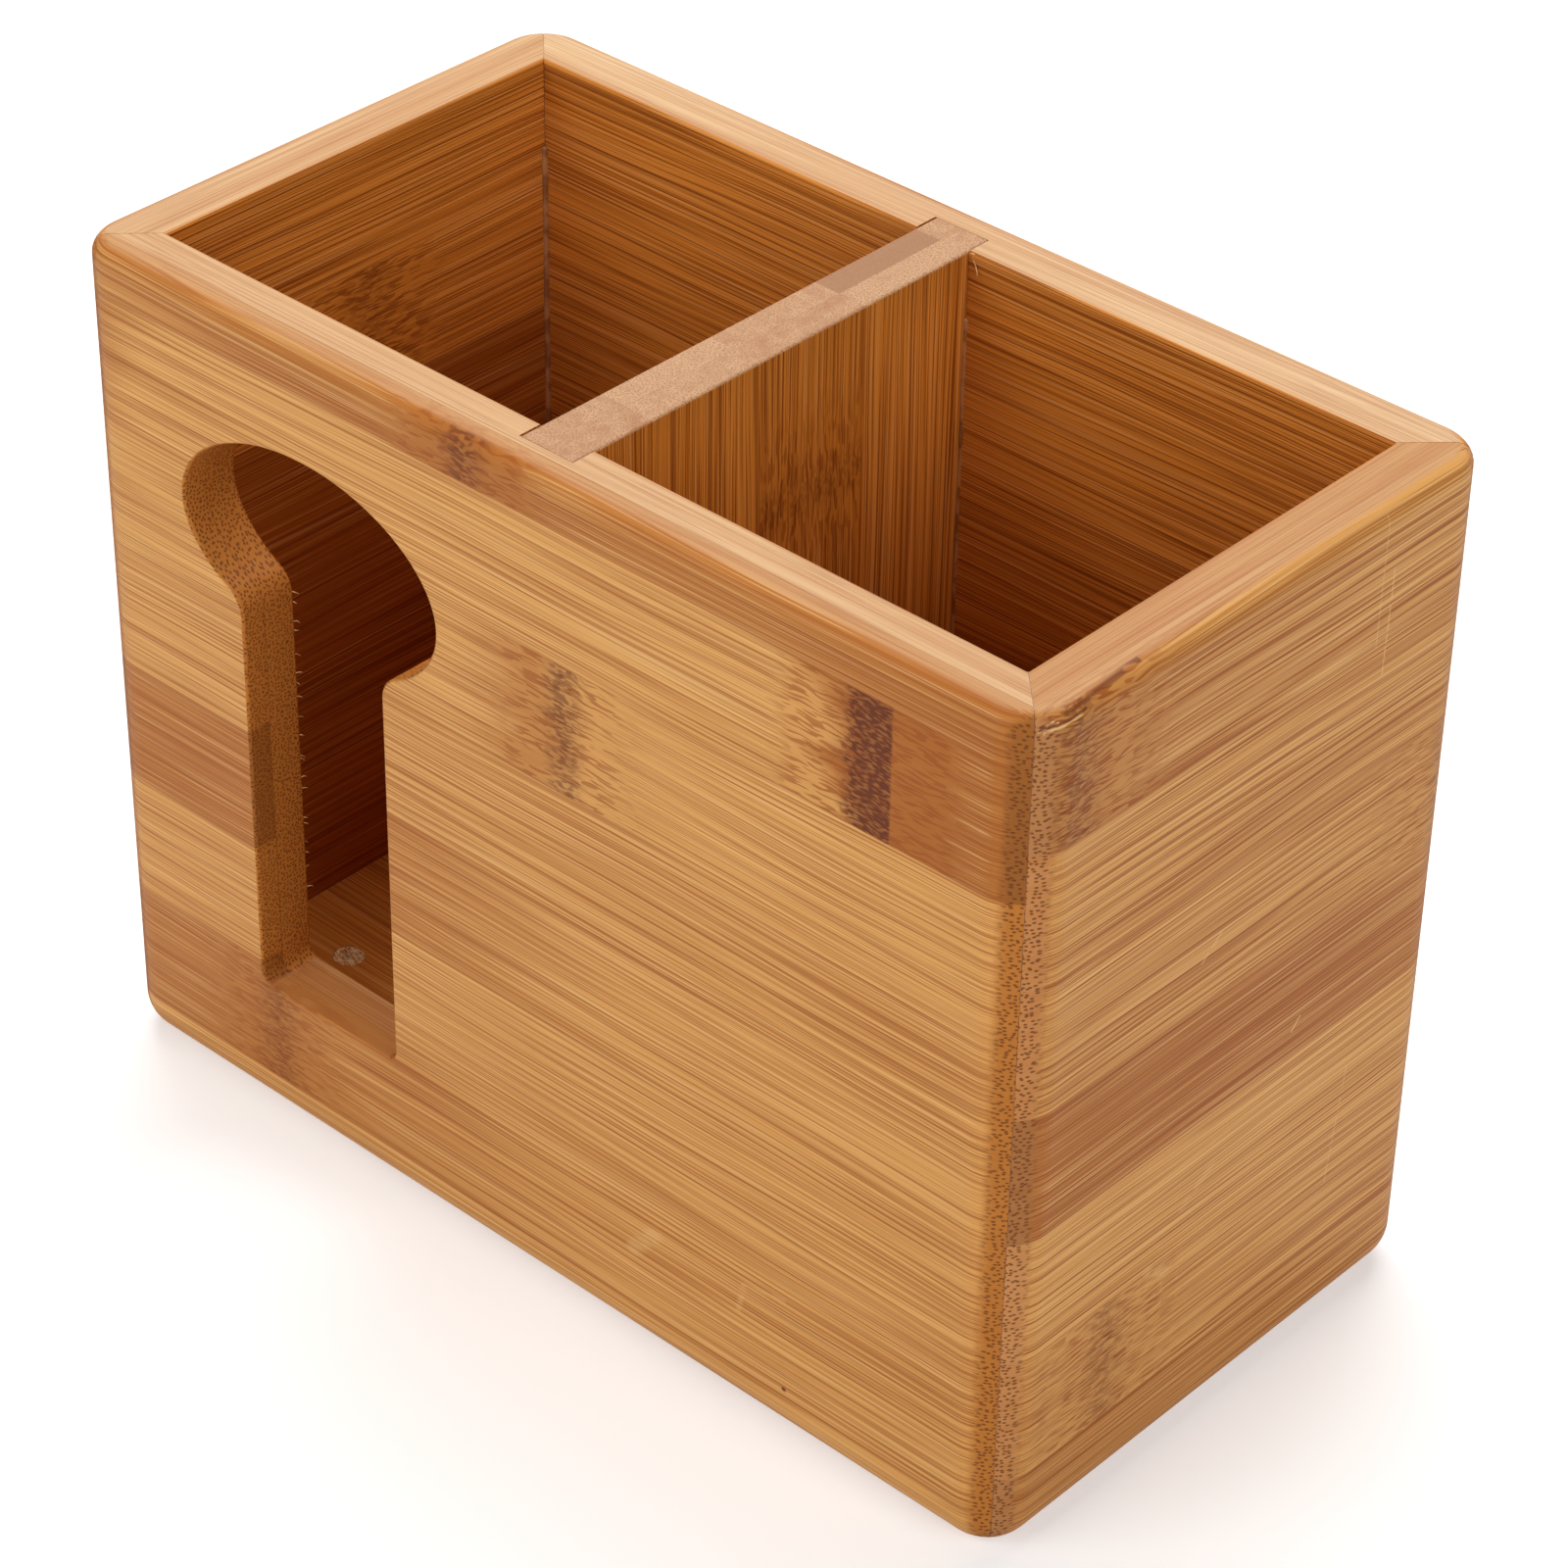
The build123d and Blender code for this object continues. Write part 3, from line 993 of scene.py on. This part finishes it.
def floor_plug(x_side, y_side, look, seed):
    """One plug, with the crushed and crinkled end that shows in the floor."""
    height = PLUGS_HIGH.z - PLUGS_LOW.z
    top = height / 2

    def on_rim(vert):
        return abs(vert.co.z - top) < 0.01 * MM and vert.co.xy.length > PLUG_RADIUS * 0.99

    bpy.ops.object.select_all(action="DESELECT")
    bpy.ops.mesh.primitive_cylinder_add(vertices=PLUG_SIDES, radius=PLUG_RADIUS, depth=height)
    plug = new_piece("floor_plug")
    choose(plug, "faces", lambda face: face.normal.z > 0.9)
    bpy.ops.mesh.inset(thickness=PLUG_LIP, depth=0.0)
    for _ in range(PLUG_RINGS):
        bpy.ops.mesh.inset(thickness=PLUG_RING, depth=0.0)
    inside = PLUG_RADIUS - 2 * PLUG_LIP
    choose(plug, "verts", lambda vert: vert.co.z > top - 0.1 * MM and vert.co.xy.length < inside)
    bpy.ops.transform.translate(value=(0, 0, -PLUG_SINK))
    bpy.ops.transform.vertex_random(offset=look.crinkle, seed=seed)
    choose(plug, "edges", lambda edge: all(on_rim(vert) for vert in edge.verts))
    bpy.ops.mesh.bevel(offset=PLUG_EASE, segments=2, affect="EDGES")
    place = (x_side * (PLUGS_HIGH.x - PLUG_RADIUS), y_side * (PLUGS_HIGH.y - PLUG_RADIUS),
             (PLUGS_HIGH.z + PLUGS_LOW.z) / 2)
    place_piece(plug, place, (0, 0, 0))
    bpy.ops.object.shade_smooth_by_angle(angle=math.radians(40))
    return plug


class ORGANIZER_OT_set_plugs(bpy.types.Operator):
    """Set the four round plugs in the floor"""

    bl_idname = "organizer.set_plugs"
    bl_label = "Set Floor Plugs"

    def execute(self, context):
        look = context.scene.plug_look
        plugs = [floor_plug(*corner, look, look.seed + number) for number, corner in enumerate(CORNERS)]
        material = mottled_material("crushed_plug", look.pale, look.deep, along=700.0, aside=2600.0,
                                    roughness=0.45, relief=0.3 * MM)
        whole = merge("crinkled_floor_plugs", plugs)
        finish(whole, material)
        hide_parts("floor_plugs")
        return {"FINISHED"}


# A torn fibre goes from its root to its tip, in millimetres, and bows by its own share of its length
TornFibre = namedtuple("TornFibre", "root tip curl")
SPLINTERS = (
    TornFibre((6.4, 41.9, 156.2), (8.1, 41.3, 153.8), 0.06),
    TornFibre((3.4, -43.0, 156.7), (7.6, -43.2, 156.75), 0.03),
    TornFibre((6.0, -42.9, 156.6), (8.0, -42.4, 156.8), 0.08),
    TornFibre((5.6, 42.2, 156.6), (6.9, 42.0, 156.8), 0.05),
    TornFibre((98.6, -49.5, 155.9), (98.9, -43.0, 156.0), 0.03),
    TornFibre((98.9, -47.5, 155.6), (99.3, -38.0, 155.5), 0.02),
    TornFibre((98.7, -36.0, 155.8), (99.0, -29.0, 155.9), 0.03),
    TornFibre((99.0, -50.5, 155.2), (99.4, -48.9, 155.5), 0.15),
)
# A torn fibre is a thin rod that loses this share of its thickness by its tip
FIBRE_TAPER = 0.75
FIBRE_SIDES = 5
FIBRE_RINGS = 6
# The hairs stand along the keyhole's left edge, where it meets the front wall's inner face, and
# their roots lie a little way into the wood, in millimetres
HAIR_LOW = 40.0
HAIR_HIGH = 104.0
HAIR_COUNT = 20
HAIR_ROOT = 0.15
KEYHOLE_LEFT = -63.25
WALL_INSIDE = -42.0
# A hair's thickness, as a share of a splinter's
HAIR_SHARE = 0.60


def torn_fibre(fibre, thickness):
    """One tapered, curled fibre, from its root to its tip in millimetres."""
    root, tip = Vector(fibre.root) * MM, Vector(fibre.tip) * MM
    length = (tip - root).length
    piece = rod("torn_fibre", thickness / 2, length, FIBRE_SIDES, FIBRE_RINGS)
    for ring in range(FIBRE_RINGS + 2):
        share = ring / (FIBRE_RINGS + 1)
        level = (share - 0.5) * length
        choose(piece, "verts", lambda vert: abs(vert.co.z - level) < length * 0.02)
        narrow = 1.0 - FIBRE_TAPER * share ** 2
        bpy.ops.transform.resize(value=(narrow, narrow, 1.0), center_override=(0, 0, level))
        bpy.ops.transform.translate(value=(fibre.curl * length * math.sin(math.pi * share), 0, 0))
    turn = (tip - root).to_track_quat("Z", "Y").to_euler()
    place_piece(piece, (root + tip) / 2, turn)
    return piece


def keyhole_hairs(seed):
    """Short torn hairs along the keyhole's left edge, at uneven heights."""
    chance = random.Random(seed)
    return [
        TornFibre((KEYHOLE_LEFT - HAIR_ROOT, WALL_INSIDE - HAIR_ROOT, height),
                  (KEYHOLE_LEFT + chance.uniform(0.2, 1.0), WALL_INSIDE + 0.1 + chance.uniform(0.0, 0.4),
                   height + chance.uniform(-0.5, 0.3)), chance.uniform(0.0, 0.3))
        for height in (HAIR_LOW + (HAIR_HIGH - HAIR_LOW) * (n + chance.random()) / HAIR_COUNT
                       for n in range(HAIR_COUNT))
    ]


class ORGANIZER_OT_raise_fibres(bpy.types.Operator):
    """Raise the fibres that the tools tore up along the cut edges"""

    bl_idname = "organizer.raise_fibres"
    bl_label = "Raise Torn Fibres"

    def execute(self, context):
        look = context.scene.fibre_look
        material = mottled_material("torn_bamboo", look.color, look.shadow, along=400.0, aside=1500.0,
                                    roughness=0.55, relief=0.05 * MM)
        splinters = [torn_fibre(fibre, look.thickness) for fibre in SPLINTERS]
        hairs = [torn_fibre(fibre, look.thickness * HAIR_SHARE) for fibre in keyhole_hairs(look.seed)]
        finish(merge("torn_splinters", splinters), material)
        finish(merge("keyhole_hairs", hairs), material)
        return {"FINISHED"}


# The camera's place, aim and roll come from the photograph's outline, in metres
CAMERA_PLACE = Vector((0.437305, -0.478771, 0.531472))
CAMERA_AIM = Vector((-0.019489, 0.028670, 0.048562))
CAMERA_ROLL = math.radians(1.0911)
STAGE_REACH = 6.0
# The softboxes' names, places and widths in metres, and the properties with their powers
SOFTBOXES = (
    ("overhead_softbox", (-0.35, 0.45, 1.05), 1.0, "key_power"),
    ("front_softbox", (-0.3, -1.1, 0.7), 0.9, "front_power"),
    ("side_softbox", (1.1, -0.3, 0.7), 0.9, "side_power"),
)


def softbox(name, place, aim, size, power):
    """A square area lamp that faces its aim."""
    data = bpy.data.lights.new(name, "AREA")
    data.shape = "SQUARE"
    data.size = size
    data.energy = power
    lamp = bpy.data.objects.new(name, data)
    bpy.context.scene.collection.objects.link(lamp)
    lamp.location = place
    lamp.rotation_euler = (aim - Vector(place)).to_track_quat("-Z", "Y").to_euler()


def pale_floor(look):
    """A wide sheet under the organizer that shows white, more so far away, and keeps the shadow."""
    bpy.ops.object.select_all(action="DESELECT")
    bpy.ops.mesh.primitive_plane_add(size=2 * STAGE_REACH, location=(0, 0, LOW.z))
    floor = bpy.context.active_object
    floor.name = "stage_floor"
    material, w, shader = new_material("stage_paper")
    shader.inputs["Base Color"].default_value = (0.85, 0.85, 0.85, 1.0)
    shader.inputs["Roughness"].default_value = 0.9
    shader.inputs["Specular IOR Level"].default_value = 0.1
    shader.inputs["Emission Color"].default_value = (1.0, 1.0, 1.0, 1.0)
    seen = w.node("LightPath").outputs["Is Camera Ray"]
    away = w.vector("LENGTH", w.node("TexCoord").outputs["Object"])
    lift = w.span(away, 0.4, 1.2, look.paper_lift, 1.0)
    w.put(shader.inputs["Emission Strength"], w.product(seen, lift))
    floor.data.materials.append(material)


def plain_world(look):
    """An even pale light from all round, white to the camera and in gloss and glass."""
    world = bpy.data.worlds.new("stage_world")
    bpy.context.scene.world = world
    world.use_nodes = True
    w = Wiring(world.node_tree)
    path = w.node("LightPath").outputs
    seen = w.math("MAXIMUM", path["Is Camera Ray"], w.math("MAXIMUM", path["Is Glossy Ray"],
                                                           path["Is Transmission Ray"]))
    background = world.node_tree.nodes["Background"]
    background.inputs["Color"].default_value = (1.0, 1.0, 1.0, 1.0)
    w.put(background.inputs["Strength"], w.math("MAXIMUM", seen, look.fill))


class ORGANIZER_OT_set_stage(bpy.types.Operator):
    """Set the pale floor, the soft lamps and the camera"""

    bl_idname = "organizer.set_stage"
    bl_label = "Set Stage"

    def execute(self, context):
        scene = context.scene
        look = scene.stage_look
        scene.view_settings.view_transform = "Standard"
        pale_floor(look)
        plain_world(look)
        middle = (LOW + HIGH) / 2
        for name, place, size, power in SOFTBOXES:
            softbox(name, place, middle, size, getattr(look, power))
        data = bpy.data.cameras.new("camera")
        data.lens = look.lens
        camera = bpy.data.objects.new("camera", data)
        scene.collection.objects.link(camera)
        camera.location = CAMERA_PLACE
        facing = (CAMERA_AIM - CAMERA_PLACE).to_track_quat("-Z", "Y").to_matrix()
        camera.rotation_euler = (facing @ Euler((0, 0, CAMERA_ROLL)).to_matrix()).to_euler()
        scene.camera = camera
        return {"FINISHED"}


STEPS = (
    ORGANIZER_OT_dress_walls,
    ORGANIZER_OT_dress_divider,
    ORGANIZER_OT_dress_floor,
    ORGANIZER_OT_fill_mitres,
    ORGANIZER_OT_lay_glue_beads,
    ORGANIZER_OT_set_plugs,
    ORGANIZER_OT_raise_fibres,
    ORGANIZER_OT_set_stage,
)
LOOKS = {
    "board_look": BoardLook,
    "glue_look": GlueLook,
    "plug_look": PlugLook,
    "fibre_look": FibreLook,
    "stage_look": StageLook,
}


class ORGANIZER_PT_steps(bpy.types.Panel):
    """Buttons that dress the organizer, in order, and the values that they use"""

    bl_idname = "ORGANIZER_PT_steps"
    bl_label = "Cutlery Organizer"
    bl_space_type = "VIEW_3D"
    bl_region_type = "UI"
    bl_category = "Organizer"

    def draw(self, context):
        for look_name, look_class in LOOKS.items():
            box = self.layout.box()
            for name in look_class.__annotations__:
                box.prop(getattr(context.scene, look_name), name)
        for step in STEPS:
            self.layout.operator(step.bl_idname)


CLASSES = (*LOOKS.values(), *STEPS, ORGANIZER_PT_steps)


def register():
    for cls in CLASSES:
        bpy.utils.register_class(cls)
    for look_name, look_class in LOOKS.items():
        setattr(bpy.types.Scene, look_name, bpy.props.PointerProperty(type=look_class))


def unregister():
    for look_name in LOOKS:
        delattr(bpy.types.Scene, look_name)
    for cls in reversed(CLASSES):
        bpy.utils.unregister_class(cls)


def main():
    register()
    for step in STEPS:
        family, action = step.bl_idname.split(".")
        getattr(getattr(bpy.ops, family), action)()


if __name__ == "__main__":
    main()
